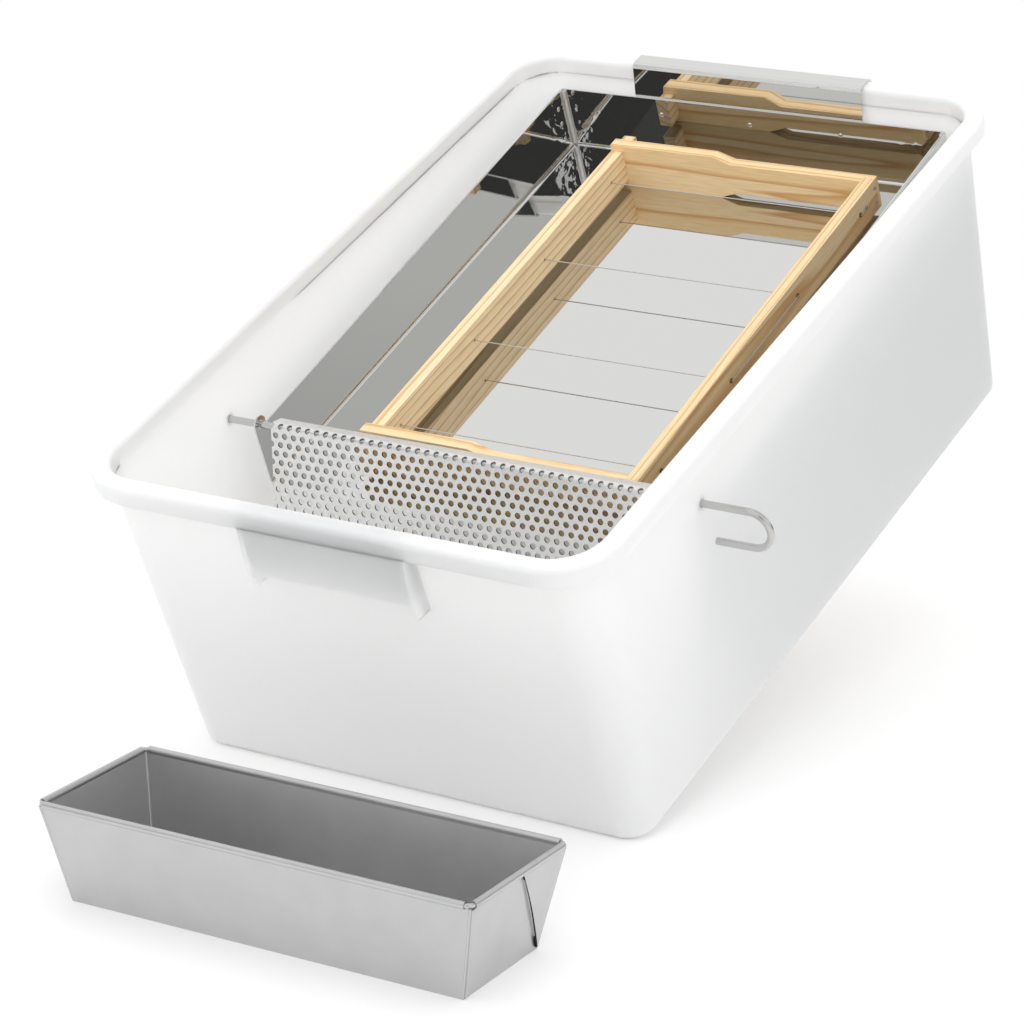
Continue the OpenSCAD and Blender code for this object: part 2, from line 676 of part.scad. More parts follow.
module tin_body() color("DarkGray") in_tin() difference() {
    union() {
        difference() {
            tin_form(0, 0);
            tin_form(tin_t, tin_t);
            translate([-tin_l, -tin_w, tin_rim_z]) cube([2 * tin_l, 2 * tin_w, tin_h]);
        }
        end_flaps();
        rim_rolls();
    }
    rim_path(rim_wire_d / 2 + curl_gap);
}

// The wire in the rolled rim shows at the open corners
module tin_rim_wire() color("Silver") in_tin() rim_path(rim_wire_d / 2);

tub();
tub_rim();
support_block();
support_rod();
wax_tray();
rear_hanger();
hanger_rivets();
corner_rivets();
strainer();
frame_top_bar();
frame_bottom_bar();
frame_side_bar_front();
frame_side_bar_rear();
frame_wire();
top_bar_eyelets();
bottom_bar_eyelets();
top_bar_nails();
bottom_bar_nails();
wire_tack();
tin_body();
tin_rim_wire();
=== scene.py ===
import bpy
import bmesh
import math
from mathutils import Matrix, Vector


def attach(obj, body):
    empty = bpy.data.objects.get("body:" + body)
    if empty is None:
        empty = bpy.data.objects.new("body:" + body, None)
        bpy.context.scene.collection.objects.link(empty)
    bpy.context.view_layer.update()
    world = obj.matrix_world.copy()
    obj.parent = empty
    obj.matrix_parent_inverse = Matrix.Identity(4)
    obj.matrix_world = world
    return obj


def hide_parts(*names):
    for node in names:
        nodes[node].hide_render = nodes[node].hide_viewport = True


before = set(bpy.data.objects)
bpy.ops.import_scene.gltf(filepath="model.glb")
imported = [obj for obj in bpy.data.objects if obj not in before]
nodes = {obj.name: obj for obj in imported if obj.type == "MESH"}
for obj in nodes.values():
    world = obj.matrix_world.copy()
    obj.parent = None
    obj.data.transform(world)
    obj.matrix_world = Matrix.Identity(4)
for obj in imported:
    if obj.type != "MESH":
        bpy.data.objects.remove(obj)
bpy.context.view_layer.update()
print("frame loaded:", len(nodes), "nodes")

millimetre = 0.001

# Where things stand: the tub is raised behind by its block, the tray and the comb frame lie in it, and
# the tin is on the ground. The shift centres the whole, and the lift sets the tilted tub's foot on the
# ground. Lengths in millimetres, angles in degrees.
places = {
    "shift": (-18.1682, -122.657, 0), "lift": -2.2285, "tubTilt": 19.7, "tray": (0, 120.5, 141),
    "trayPitch": 3.2, "comb": (-95.5, 30.5, 1), "tin": (63.5, -218.5, 0), "tinTurn": 1.6,
}


def turned(angle, axis):
    return Matrix.Rotation(math.radians(angle), 4, axis)


onGround = Matrix.Translation(places["shift"])
inTub = Matrix.Translation((0, 0, places["lift"])) @ onGround @ turned(places["tubTilt"], "X")
inTray = inTub @ Matrix.Translation(places["tray"]) @ turned(places["trayPitch"], "X")
inComb = inTray @ Matrix.Translation(places["comb"])
inTin = onGround @ Matrix.Translation(places["tin"]) @ turned(places["tinTurn"], "Z")
trayOrigin = [v * millimetre for v in inTray.translation]
trayLean = places["tubTilt"] + places["trayPitch"]


def linearColour(hexCode):
    parts = [int(hexCode[i:i + 2], 16) / 255 for i in (1, 3, 5)]
    return [c / 12.92 if c <= 0.04045 else ((c + 0.055) / 1.055) ** 2.4 for c in parts] + [1.0]


def perMetre(sizeMm):
    # texture scale for a feature of that size
    return 1 / (sizeMm * millimetre)


def addNode(tree, kind, settings=None, links=None):
    node = tree.nodes.new(kind)
    for key, value in (settings or {}).items():
        if isinstance(key, int) or key in node.inputs:
            node.inputs[key].default_value = value
        else:
            setattr(node, key, value)
    for key, source in (links or {}).items():
        tree.links.new(source, node.inputs[key])
    return node


def startMaterial(name):
    material = bpy.data.materials.new(name)
    material.use_nodes = True
    tree = material.node_tree
    tree.nodes.clear()
    shader = addNode(tree, "ShaderNodeBsdfPrincipled")
    addNode(tree, "ShaderNodeOutputMaterial", links={"Surface": shader.outputs["BSDF"]})
    place = addNode(tree, "ShaderNodeTexCoord").outputs["Object"]
    return material, tree, shader, place


def setRamp(ramp, stops):
    elements = ramp.color_ramp.elements
    while len(elements) < len(stops):
        elements.new(0.5)
    for element, (position, colour) in zip(elements, stops):
        element.position = position
        element.color = linearColour(colour)


def varyGloss(tree, shader, pattern, smoothest, roughest):
    # the gloss follows a pattern between two roughnesses
    gloss = addNode(tree, "ShaderNodeMapRange", {"To Min": smoothest, "To Max": roughest},
                    {"Value": pattern})
    tree.links.new(gloss.outputs["Result"], shader.inputs["Roughness"])


def finish(tree, shader, height, strength, depthMm, easeMm=0.0):
    # a bump over edges that are eased by a small radius
    links = {"Height": height}
    if easeMm:
        links["Normal"] = addNode(tree, "ShaderNodeBevel",
                                  {"samples": 4, "Radius": easeMm * millimetre}).outputs["Normal"]
    bump = addNode(tree, "ShaderNodeBump", {"Strength": strength, "Distance": depthMm * millimetre}, links)
    tree.links.new(bump.outputs["Normal"], shader.inputs["Normal"])


# Polypropylene, injection moulded in its natural white. Light goes some way into it, so its shades are
# soft and thin ribs glow; the skin has a fine eggshell gloss and is very slightly wavy from cooling.
tubLook = {
    "colour": "#FBFBFA", "cool": "#F8F8F7", "flowMm": 160, "glow": 0.9, "glowMm": 26,
    "glowColour": (1.0, 0.98, 0.95), "index": 1.49, "smoothest": 0.37, "roughest": 0.49, "grainMm": 0.9,
    "sinkMm": 70, "sinkShare": 12.0, "bump": 0.25, "bumpMm": 0.03, "easeMm": 0.6,
}


def naturalPolypropylene():
    material, tree, shader, place = startMaterial("naturalPolypropylene")
    shader.inputs["IOR"].default_value = tubLook["index"]
    shader.inputs["Subsurface Weight"].default_value = tubLook["glow"]
    shader.inputs["Subsurface Radius"].default_value = tubLook["glowColour"]
    shader.inputs["Subsurface Scale"].default_value = tubLook["glowMm"] * millimetre
    flow = addNode(tree, "ShaderNodeTexNoise", {"Scale": perMetre(tubLook["flowMm"]), "Detail": 3.0},
                   {"Vector": place})
    tone = addNode(tree, "ShaderNodeValToRGB", links={"Fac": flow.outputs["Fac"]})
    setRamp(tone, [(0.3, tubLook["cool"]), (0.7, tubLook["colour"])])
    tree.links.new(tone.outputs["Color"], shader.inputs["Base Color"])
    grain = addNode(tree, "ShaderNodeTexNoise", {"Scale": perMetre(tubLook["grainMm"]), "Detail": 4.0},
                    {"Vector": place})
    varyGloss(tree, shader, grain.outputs["Fac"], tubLook["smoothest"], tubLook["roughest"])
    sink = addNode(tree, "ShaderNodeTexNoise", {"Scale": perMetre(tubLook["sinkMm"]), "Detail": 1.0},
                   {"Vector": place})
    height = addNode(tree, "ShaderNodeMath", {"operation": "MULTIPLY_ADD", 1: tubLook["sinkShare"]},
                     {0: sink.outputs["Fac"], 2: grain.outputs["Fac"]})
    finish(tree, shader, height.outputs["Value"], tubLook["bump"], tubLook["bumpMm"], tubLook["easeMm"])
    return material


# Stainless steel sheet, mirror polished: a grey mirror with very faint buffing marks. The folded
# walls spring in a little, and the sheet is dented where its rear corners are folded.
mirrorLook = {
    "colour": "#D9D9D7", "smoothest": 0.01, "roughest": 0.04, "buffMm": 0.5, "buffStretch": 0.02,
    "unevenMm": 110, "unevenDepthMm": 0.05, "springIn": 3.2, "hangerLean": 10.8,
    "dentMm": 15, "dentTwist": 1.2, "dentDepthMm": 0.55, "dentFrom": 6, "dentTo": 42,
}
# The tray's inside at its rear corners
traySize = {"halfWidth": 159, "length": 436.2, "wallHeight": 50}


def mirrorStainless(name, springIn):
    material, tree, shader, place = startMaterial(name)
    shader.inputs["Metallic"].default_value = 1.0
    shader.inputs["Base Color"].default_value = linearColour(mirrorLook["colour"])
    buffed = addNode(tree, "ShaderNodeMapping", {"Scale": (mirrorLook["buffStretch"], 1.0, 1.0)},
                     {"Vector": place})
    marks = addNode(tree, "ShaderNodeTexNoise", {"Scale": perMetre(mirrorLook["buffMm"]), "Detail": 6.0},
                    {"Vector": buffed.outputs["Vector"]})
    varyGloss(tree, shader, marks.outputs["Fac"], mirrorLook["smoothest"], mirrorLook["roughest"])
    # the place in the tray: across, along its floor and up its walls, in metres
    inPlace = addNode(tree, "ShaderNodeMapping", {"vector_type": "TEXTURE", "Location": trayOrigin,
                                                  "Rotation": (math.radians(trayLean), 0, 0)},
                      {"Vector": place})
    mirrored = addNode(tree, "ShaderNodeVectorMath", {"operation": "ABSOLUTE"},
                       {0: inPlace.outputs["Vector"]})
    corner = [traySize["halfWidth"] * millimetre, traySize["length"] * millimetre,
              traySize["wallHeight"] / 2 * millimetre]
    fromCorner = addNode(tree, "ShaderNodeVectorMath", {"operation": "DISTANCE", 1: corner},
                         {0: mirrored.outputs["Vector"]})
    near = addNode(tree, "ShaderNodeMapRange", {"interpolation_type": "SMOOTHSTEP",
                                                "From Min": mirrorLook["dentTo"] * millimetre,
                                                "From Max": mirrorLook["dentFrom"] * millimetre},
                   {"Value": fromCorner.outputs["Value"]})
    dents = addNode(tree, "ShaderNodeTexNoise", {"Scale": perMetre(mirrorLook["dentMm"]), "Detail": 1.0,
                                                 "Distortion": mirrorLook["dentTwist"]}, {"Vector": place})
    dented = addNode(tree, "ShaderNodeMath", {"operation": "MULTIPLY"},
                     {0: near.outputs["Result"], 1: dents.outputs["Fac"]})
    uneven = addNode(tree, "ShaderNodeTexNoise", {"Scale": perMetre(mirrorLook["unevenMm"]), "Detail": 0.0},
                     {"Vector": place})
    wavy = addNode(tree, "ShaderNodeMath", {"operation": "MULTIPLY",
                                            1: mirrorLook["unevenDepthMm"] * millimetre},
                   {0: uneven.outputs["Fac"]})
    relief = addNode(tree, "ShaderNodeMath", {"operation": "MULTIPLY_ADD",
                                              1: mirrorLook["dentDepthMm"] * millimetre},
                     {0: dented.outputs["Value"], 2: wavy.outputs["Value"]})
    parts = addNode(tree, "ShaderNodeSeparateXYZ", links={"Vector": inPlace.outputs["Vector"]})
    height = addNode(tree, "ShaderNodeMath", {"operation": "MULTIPLY_ADD",
                                              1: math.tan(math.radians(springIn))},
                     {0: parts.outputs["Z"], 2: relief.outputs["Value"]})
    # this height is in metres, which turns the reflections by the true angles
    finish(tree, shader, height.outputs["Value"], 1.0, 1 / millimetre)
    return material


# Stainless sheet with a brushed mill finish: long fine lines along X and a soft, stretched gloss.
brushedLook = {
    "stretch": 0.015, "smoother": 0.08, "rougher": 0.1, "bump": 0.12, "bumpMm": 0.02, "easeMm": 0.3,
}


def brushedStainless(name, colour, roughness, lineMm):
    material, tree, shader, place = startMaterial(name)
    shader.inputs["Metallic"].default_value = 1.0
    shader.inputs["Base Color"].default_value = linearColour(colour)
    along = addNode(tree, "ShaderNodeMapping", {"Scale": (brushedLook["stretch"], 1.0, 1.0)},
                    {"Vector": place})
    lines = addNode(tree, "ShaderNodeTexNoise", {"Scale": perMetre(lineMm), "Detail": 6.0},
                    {"Vector": along.outputs["Vector"]})
    varyGloss(tree, shader, lines.outputs["Fac"], roughness - brushedLook["smoother"],
              roughness + brushedLook["rougher"])
    finish(tree, shader, lines.outputs["Fac"], brushedLook["bump"], brushedLook["bumpMm"],
           brushedLook["easeMm"])
    return material


# The strainer's sheet is brushed too. Its holes are punched, which leaves their walls torn; their walls and
# the sheet's cut edges are coloured near black as painted shade.
strainerLook = {
    "colour": "#E6E6E4", "holeShade": "#2A2928", "roughness": 0.36, "lineMm": 0.6,
    "rod": (0, 124.3, 188.4), "lean": 17, "flatFrom": 1, "wallFrom": 0.5, "wallTo": 0.3,
}  # the rod's place is in the tub's own millimetres


def punchedStainless():
    material = brushedStainless("punchedStainless", strainerLook["colour"], strainerLook["roughness"],
                                strainerLook["lineMm"])
    tree = material.node_tree
    shader = next(n for n in tree.nodes if n.type == "BSDF_PRINCIPLED")
    spot = addNode(tree, "ShaderNodeTexCoord")
    onRod = inTub @ Matrix.Translation(strainerLook["rod"]) @ turned(-strainerLook["lean"], "X")
    onSheet = onRod.to_3x3() @ Vector((0, 1, 0))
    place = addNode(tree, "ShaderNodeMapping", {
        "vector_type": "TEXTURE", "Location": [v * millimetre for v in onRod.translation],
        "Rotation": (math.radians(places["tubTilt"] - strainerLook["lean"]), 0, 0)},
        {"Vector": spot.outputs["Object"]})
    parts = addNode(tree, "ShaderNodeSeparateXYZ", links={"Vector": place.outputs["Vector"]})
    # below the rod the sheet is flat, so a face that looks another way is a hole's wall or a cut edge
    flat = addNode(tree, "ShaderNodeMath", {"operation": "LESS_THAN",
                                            1: -strainerLook["flatFrom"] * millimetre},
                   {0: parts.outputs["Z"]})
    facing = addNode(tree, "ShaderNodeVectorMath", {"operation": "DOT_PRODUCT", 1: onSheet},
                     {0: spot.outputs["Normal"]})
    turnedAway = addNode(tree, "ShaderNodeMath", {"operation": "ABSOLUTE"}, {0: facing.outputs["Value"]})
    wall = addNode(tree, "ShaderNodeMapRange", {"From Min": strainerLook["wallFrom"],
                                                "From Max": strainerLook["wallTo"]},
                   {"Value": turnedAway.outputs["Value"]})
    paintedHoleShade = addNode(tree, "ShaderNodeMath", {"operation": "MULTIPLY"},
                      {0: wall.outputs["Result"], 1: flat.outputs["Value"]})
    # painted shade: below the rod, faces turned away from the sheet (hole walls and cut edges) go near black
    tone = addNode(tree, "ShaderNodeValToRGB", links={"Fac": paintedHoleShade.outputs["Value"]})
    setRamp(tone, [(0.0, strainerLook["colour"]), (1.0, strainerLook["holeShade"])])
    tree.links.new(tone.outputs["Color"], shader.inputs["Base Color"])
    return material


# Tinplate, cold rolled and folded: a satin grey with a faint cloudy bloom and rolling lines.
tinLook = {
    "colour": "#CACACA", "bloom": "#C5C5C6", "cloudMm": 26, "lineMm": 0.8, "lineStretch": 0.03,
    "smoothest": 0.3, "roughest": 0.44, "bump": 0.1, "bumpMm": 0.02, "easeMm": 0.4,
}


def foldedTinplate():
    material, tree, shader, place = startMaterial("foldedTinplate")
    shader.inputs["Metallic"].default_value = 1.0
    cloud = addNode(tree, "ShaderNodeTexNoise", {"Scale": perMetre(tinLook["cloudMm"]), "Detail": 4.0},
                    {"Vector": place})
    tone = addNode(tree, "ShaderNodeValToRGB", links={"Fac": cloud.outputs["Fac"]})
    setRamp(tone, [(0.3, tinLook["bloom"]), (0.7, tinLook["colour"])])
    tree.links.new(tone.outputs["Color"], shader.inputs["Base Color"])
    along = addNode(tree, "ShaderNodeMapping", {"Scale": (tinLook["lineStretch"], 1.0, 1.0)},
                    {"Vector": place})
    lines = addNode(tree, "ShaderNodeTexNoise", {"Scale": perMetre(tinLook["lineMm"]), "Detail": 5.0},
                    {"Vector": along.outputs["Vector"]})
    varyGloss(tree, shader, lines.outputs["Fac"], tinLook["smoothest"], tinLook["roughest"])
    finish(tree, shader, lines.outputs["Fac"], tinLook["bump"], tinLook["bumpMm"], tinLook["easeMm"])
    return material


# Drawn steel. The rod is bright plated; the comb wire is tinned, so fine and pale that it almost goes
# into the tray's grey.
drawnLooks = {
    "brightSteel": {"colour": "#C4C4C3", "markMm": 1.2, "detail": 4.0, "smoothest": 0.1, "roughest": 0.22,
                    "bump": 0.05, "bumpMm": 0.02},
    "tinnedWire": {"colour": "#D4D4D2", "markMm": 2.5, "detail": 2.0, "smoothest": 0.35, "roughest": 0.5,
                   "bump": 0.1, "bumpMm": 0.02},
}


def drawnSteel(name):
    look = drawnLooks[name]
    material, tree, shader, place = startMaterial(name)
    shader.inputs["Metallic"].default_value = 1.0
    shader.inputs["Base Color"].default_value = linearColour(look["colour"])
    marks = addNode(tree, "ShaderNodeTexNoise", {"Scale": perMetre(look["markMm"]),
                                                 "Detail": look["detail"]}, {"Vector": place})
    varyGloss(tree, shader, marks.outputs["Fac"], look["smoothest"], look["roughest"])
    finish(tree, shader, marks.outputs["Fac"], look["bump"], look["bumpMm"])
    return material


# Metal clouded between two tones. The pressed brass of the eyelets is yellow under a thin dull film. The gap
# shade is painted shade: near-black metal with only a dull gleam, standing for the dark inside the open gap
# of a folded flap.
cloudedLooks = {
    "pressedBrass": {"cloudMm": 1.5, "detail": 3.0, "tones": [(0.35, "#6F5229"), (0.65, "#A98548")],
                     "roughness": 0.3, "bump": 0.1, "bumpMm": 0.03},
    # painted shade: near-black tones for the flap's open gap
    "gapShade": {"cloudMm": 4, "detail": 2.0, "tones": [(0.35, "#1E1E1E"), (0.7, "#333333")],
                 "roughness": 0.7, "bump": 0.2, "bumpMm": 0.05},
}


def cloudedMetal(name):
    look = cloudedLooks[name]
    material, tree, shader, place = startMaterial(name)
    shader.inputs["Metallic"].default_value = 1.0
    shader.inputs["Roughness"].default_value = look["roughness"]
    cloud = addNode(tree, "ShaderNodeTexNoise", {"Scale": perMetre(look["cloudMm"]),
                                                 "Detail": look["detail"]}, {"Vector": place})
    tone = addNode(tree, "ShaderNodeValToRGB", links={"Fac": cloud.outputs["Fac"]})
    setRamp(tone, look["tones"])
    tree.links.new(tone.outputs["Color"], shader.inputs["Base Color"])
    finish(tree, shader, cloud.outputs["Fac"], look["bump"], look["bumpMm"])
    return material


# Pine, planed: pale early wood between darker late wood lines that run along the bar, with fine
# fibre streaks. The bar's length is the grain's direction; the pith lies well outside the bar.
pineLook = {
    "pale": "#F7E2BD", "middle": "#F3DAAE", "dark": "#D9AC76",
    "middleAt": 0.6, "darkAt": 0.86, "endAt": 0.95,
    "ringMm": 5.6, "ringStretch": 0.06, "wanderMm": 30, "wanderBy": 20,
    "fibreMm": 0.5, "fibreStretch": 0.03, "fibre": "#EDE8E0",
    "roughness": 0.55, "bump": 0.25, "bumpMm": 0.06, "easeMm": 0.7,
}

# A wave texture of this scale has its rings one unit apart
ringSpan = 0.314


def planedPine(name, alongX, pith, tint, ringMm=pineLook["ringMm"]):
    material, tree, shader, place = startMaterial(name)
    level = addNode(tree, "ShaderNodeMapping", {"Rotation": (-math.radians(trayLean), 0, 0)},
                    {"Vector": place})
    turn = (0, 0, 0) if alongX else (0, 0, math.radians(90))
    grain = addNode(tree, "ShaderNodeMapping", {"Rotation": turn, "Location": pith},
                    {"Vector": level.outputs["Vector"]})
    slow = addNode(tree, "ShaderNodeMapping", {"Scale": (pineLook["ringStretch"], 1.0, 1.0)},
                   {"Vector": grain.outputs["Vector"]})
    wander = addNode(tree, "ShaderNodeTexNoise", {"Scale": perMetre(pineLook["wanderMm"]), "Detail": 2.0},
                     {"Vector": slow.outputs["Vector"]})
    wanderBy = pineLook["wanderBy"] * millimetre
    push = addNode(tree, "ShaderNodeVectorMath", {"operation": "MULTIPLY_ADD", 1: (0.0, wanderBy, wanderBy)},
                   {0: wander.outputs["Color"], 2: slow.outputs["Vector"]})
    rings = addNode(tree, "ShaderNodeTexWave", {"wave_type": "RINGS", "rings_direction": "X",
                                                "wave_profile": "SAW", "Detail": 0.0,
                                                "Scale": ringSpan * perMetre(ringMm)},
                    {"Vector": push.outputs["Vector"]})
    late = addNode(tree, "ShaderNodeValToRGB", links={"Fac": rings.outputs["Fac"]})
    setRamp(late, [(0.0, pineLook["pale"]), (pineLook["middleAt"], pineLook["middle"]),
                   (pineLook["darkAt"], pineLook["dark"]), (pineLook["endAt"], pineLook["pale"])])
    thin = addNode(tree, "ShaderNodeMapping", {"Scale": (pineLook["fibreStretch"], 1.0, 1.0)},
                   {"Vector": grain.outputs["Vector"]})
    fibre = addNode(tree, "ShaderNodeTexNoise", {"Scale": perMetre(pineLook["fibreMm"]), "Detail": 4.0},
                    {"Vector": thin.outputs["Vector"]})
    streak = addNode(tree, "ShaderNodeValToRGB", links={"Fac": fibre.outputs["Fac"]})
    setRamp(streak, [(0.3, pineLook["fibre"]), (0.6, "#FFFFFF")])
    colour = addNode(tree, "ShaderNodeMix", {"data_type": "RGBA", "blend_type": "MULTIPLY", 0: 1.0},
                     {6: late.outputs["Color"], 7: streak.outputs["Color"]})
    tinted = addNode(tree, "ShaderNodeMix", {"data_type": "RGBA", "blend_type": "MULTIPLY", 0: 1.0,
                                             7: linearColour(tint)}, {6: colour.outputs[2]})
    tree.links.new(tinted.outputs[2], shader.inputs["Base Color"])
    shader.inputs["Roughness"].default_value = pineLook["roughness"]
    finish(tree, shader, fibre.outputs["Fac"], pineLook["bump"], pineLook["bumpMm"], pineLook["easeMm"])
    return material


# Each bar is sawn from its own place in the log. The grain runs along X or along Y, pith is the way from
# the log's middle to the part's origin in metres, and tint is the bar's own shade. The block is sawn
# timber, greyer and with closer rings.
woodPieces = {
    "support_block": {"name": "sawnTimber", "alongX": True, "pith": (0.0, 0.09, 0.05), "tint": "#D6CAB8",
                      "ringMm": 3.2},
    "frame_top_bar": {"name": "pineTopBar", "alongX": False, "pith": (0.0, 0.16, -0.12), "tint": "#FFFFFF"},
    "frame_bottom_bar": {"name": "pineBottomBar", "alongX": False, "pith": (0.0, -0.02, -0.2),
                         "tint": "#FBF6EE"},
    "frame_side_bar_front": {"name": "pineSideFront", "alongX": True, "pith": (0.0, 0.15, -0.14),
                             "tint": "#FFFBF4"},
    "frame_side_bar_rear": {"name": "pineSideRear", "alongX": True, "pith": (0.0, -0.2, -0.22),
                            "tint": "#FFF8EC"},
}
materials = {
    "tub": naturalPolypropylene(),
    "wax_tray": mirrorStainless("mirrorTray", mirrorLook["springIn"]),
    "rear_hanger": mirrorStainless("mirrorHanger", mirrorLook["hangerLean"]),
    "frame_wire": drawnSteel("tinnedWire"),
    "strainer": punchedStainless(),
    "support_rod": drawnSteel("brightSteel"),
    "tin_body": foldedTinplate(),
    "top_bar_eyelets": cloudedMetal("pressedBrass"),
}
for part, look in woodPieces.items():
    materials[part] = planedPine(**look)
sameAs = {
    "tub_rim": "tub", "hanger_rivets": "wax_tray", "corner_rivets": "wax_tray",
    "top_bar_nails": "support_rod", "bottom_bar_nails": "support_rod", "wire_tack": "support_rod",
    "tin_rim_wire": "support_rod", "bottom_bar_eyelets": "top_bar_eyelets",
}
for name, node in nodes.items():
    node.data.materials.clear()
    node.data.materials.append(materials[sameAs.get(name, name)])
print("materials assigned")


# Small pieces that repeat, or that follow an edge, come from Geometry Nodes trees. Each tree takes a
# few points or edges and returns one plain mesh, which rides on its body.
def startTree(name, sizes):
    tree = bpy.data.node_groups.new(name, "GeometryNodeTree")
    tree.interface.new_socket(name="Geometry", in_out="INPUT", socket_type="NodeSocketGeometry")
    for label, value in sizes.items():
        kind = "NodeSocketInt" if isinstance(value, int) else "NodeSocketFloat"
        tree.interface.new_socket(name=label, in_out="INPUT", socket_type=kind).default_value = value
    tree.interface.new_socket(name="Material", in_out="INPUT", socket_type="NodeSocketMaterial")
    tree.interface.new_socket(name="Geometry", in_out="OUTPUT", socket_type="NodeSocketGeometry")
    return tree, addNode(tree, "NodeGroupInput").outputs


def endTree(tree, given, geometry):
    real = addNode(tree, "GeometryNodeRealizeInstances", links={"Geometry": geometry})
    made = addNode(tree, "GeometryNodeSetMaterial", links={"Geometry": real.outputs["Geometry"],
                                                           "Material": given["Material"]})
    addNode(tree, "NodeGroupOutput", links={"Geometry": made.outputs["Geometry"]})
    return tree


def facingOut(tree, given, part):
    # one copy of a part on each point, turned so that it faces the way the point does
    facing = addNode(tree, "GeometryNodeInputNamedAttribute", {"data_type": "FLOAT_VECTOR",
                                                               "Name": "facing"})
    turn = addNode(tree, "FunctionNodeAlignRotationToVector", {"axis": "Z"},
                   {"Vector": facing.outputs["Attribute"]})
    copies = addNode(tree, "GeometryNodeInstanceOnPoints", None,
                     {"Points": given["Geometry"], "Instance": part, "Rotation": turn.outputs["Rotation"]})
    return copies.outputs["Instances"]


def lowHeadTree():
    tree, given = startTree("lowHead", {"Radius": 0.0016, "Height": 0.0004, "Sides": 20})
    ball = addNode(tree, "GeometryNodeMeshUVSphere", {"Rings": 10}, {"Segments": given["Sides"]})
    flat = addNode(tree, "ShaderNodeCombineXYZ", None,
                   {"X": given["Radius"], "Y": given["Radius"], "Z": given["Height"]})
    head = addNode(tree, "GeometryNodeTransform", None,
                   {"Geometry": ball.outputs["Mesh"], "Scale": flat.outputs["Vector"]})
    return endTree(tree, given, facingOut(tree, given, head.outputs["Geometry"]))


def rolledLipTree():
    tree, given = startTree("rolledLip", {"Radius": 0.00145, "Roll": 0.00035, "Sides": 24})
    ring = addNode(tree, "GeometryNodeCurvePrimitiveCircle", None,
                   {"Resolution": given["Sides"], "Radius": given["Radius"]})
    section = addNode(tree, "GeometryNodeCurvePrimitiveCircle", {"Resolution": 8},
                      {"Radius": given["Roll"]})
    lip = addNode(tree, "GeometryNodeCurveToMesh", None, {"Curve": ring.outputs["Curve"],
                                                          "Profile Curve": section.outputs["Curve"]})
    return endTree(tree, given, facingOut(tree, given, lip.outputs["Mesh"]))


def foldLineTree():
    # a round fold along each edge; it wanders a little, as a fold made by hand does
    tree, given = startTree("foldLine", {"Radius": 0.001, "Wander": 0.0002, "Wave": 0.01, "Steps": 24})
    path = addNode(tree, "GeometryNodeMeshToCurve", None, {"Mesh": given["Geometry"]})
    fine = addNode(tree, "GeometryNodeResampleCurve", None, {"Curve": path.outputs["Curve"],
                                                             "Count": given["Steps"]})
    often = addNode(tree, "ShaderNodeMath", {"operation": "DIVIDE", 0: 1.0}, {1: given["Wave"]})
    spot = addNode(tree, "GeometryNodeInputPosition")
    noise = addNode(tree, "ShaderNodeTexNoise", {"Detail": 1.0}, {"Vector": spot.outputs["Position"],
                                                                 "Scale": often.outputs["Value"]})
    level = addNode(tree, "ShaderNodeVectorMath", {"operation": "SUBTRACT", 1: (0.5, 0.5, 0.5)},
                    {0: noise.outputs["Color"]})
    shift = addNode(tree, "ShaderNodeVectorMath", {"operation": "SCALE"},
                    {0: level.outputs["Vector"], "Scale": given["Wander"]})
    moved = addNode(tree, "GeometryNodeSetPosition", None, {"Geometry": fine.outputs["Curve"],
                                                            "Offset": shift.outputs["Vector"]})
    section = addNode(tree, "GeometryNodeCurvePrimitiveCircle", {"Resolution": 12},
                      {"Radius": given["Radius"]})
    fold = addNode(tree, "GeometryNodeCurveToMesh", {"Fill Caps": True},
                   {"Curve": moved.outputs["Geometry"], "Profile Curve": section.outputs["Curve"]})
    return endTree(tree, given, fold.outputs["Mesh"])


def wireTailTree():
    tree, given = startTree("wireTail", {"Radius": 0.0009, "Wire": 0.0004, "Rise": 0.001, "Turns": 1.6})
    turns = addNode(tree, "GeometryNodeCurveSpiral", {"Resolution": 20},
                    {"Rotations": given["Turns"], "Start Radius": given["Radius"],
                     "End Radius": given["Radius"], "Height": given["Rise"]})
    section = addNode(tree, "GeometryNodeCurvePrimitiveCircle", {"Resolution": 10},
                      {"Radius": given["Wire"]})
    wire = addNode(tree, "GeometryNodeCurveToMesh", {"Fill Caps": True},
                   {"Curve": turns.outputs["Curve"], "Profile Curve": section.outputs["Curve"]})
    return endTree(tree, given, facingOut(tree, given, wire.outputs["Mesh"]))


def newObject(name, data):
    made = bpy.data.objects.new(name, data)
    bpy.context.scene.collection.objects.link(made)
    return made


def grownMesh(holder):
    # the mesh of an object after its modifiers
    bpy.context.view_layer.update()
    return bpy.data.meshes.new_from_object(holder.evaluated_get(bpy.context.evaluated_depsgraph_get()))


def pointsFacing(name, where, spots):
    # spots are pairs of a place and a facing, in the millimetres of what carries them
    mesh = bpy.data.meshes.new(name)
    mesh.from_pydata([(where @ Vector(spot)) * millimetre for spot, facing in spots], [], [])
    attribute = mesh.attributes.new("facing", "FLOAT_VECTOR", "POINT")
    for item, (spot, facing) in zip(attribute.data, spots):
        item.vector = where.to_3x3() @ Vector(facing)
    return mesh


def edgesBetween(name, where, lines):
    ends = [(where @ Vector(end)) * millimetre for line in lines for end in line]
    mesh = bpy.data.meshes.new(name)
    mesh.from_pydata(ends, [(2 * i, 2 * i + 1) for i in range(len(lines))], [])
    return mesh


def growPiece(name, tree, start, sizes, material, body):
    holder = newObject(name + "Start", start)
    modifier = holder.modifiers.new("shape", "NODES")
    modifier.node_group = tree
    sockets = {item.name: item.identifier for item in tree.interface.items_tree if item.in_out == "INPUT"}
    for label, value in dict(sizes, Material=material).items():
        modifier[sockets[label]] = value
    piece = newObject(name, grownMesh(holder))
    bpy.data.objects.remove(holder)
    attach(piece, body)
    print(name + ":", len(piece.data.polygons), "faces")


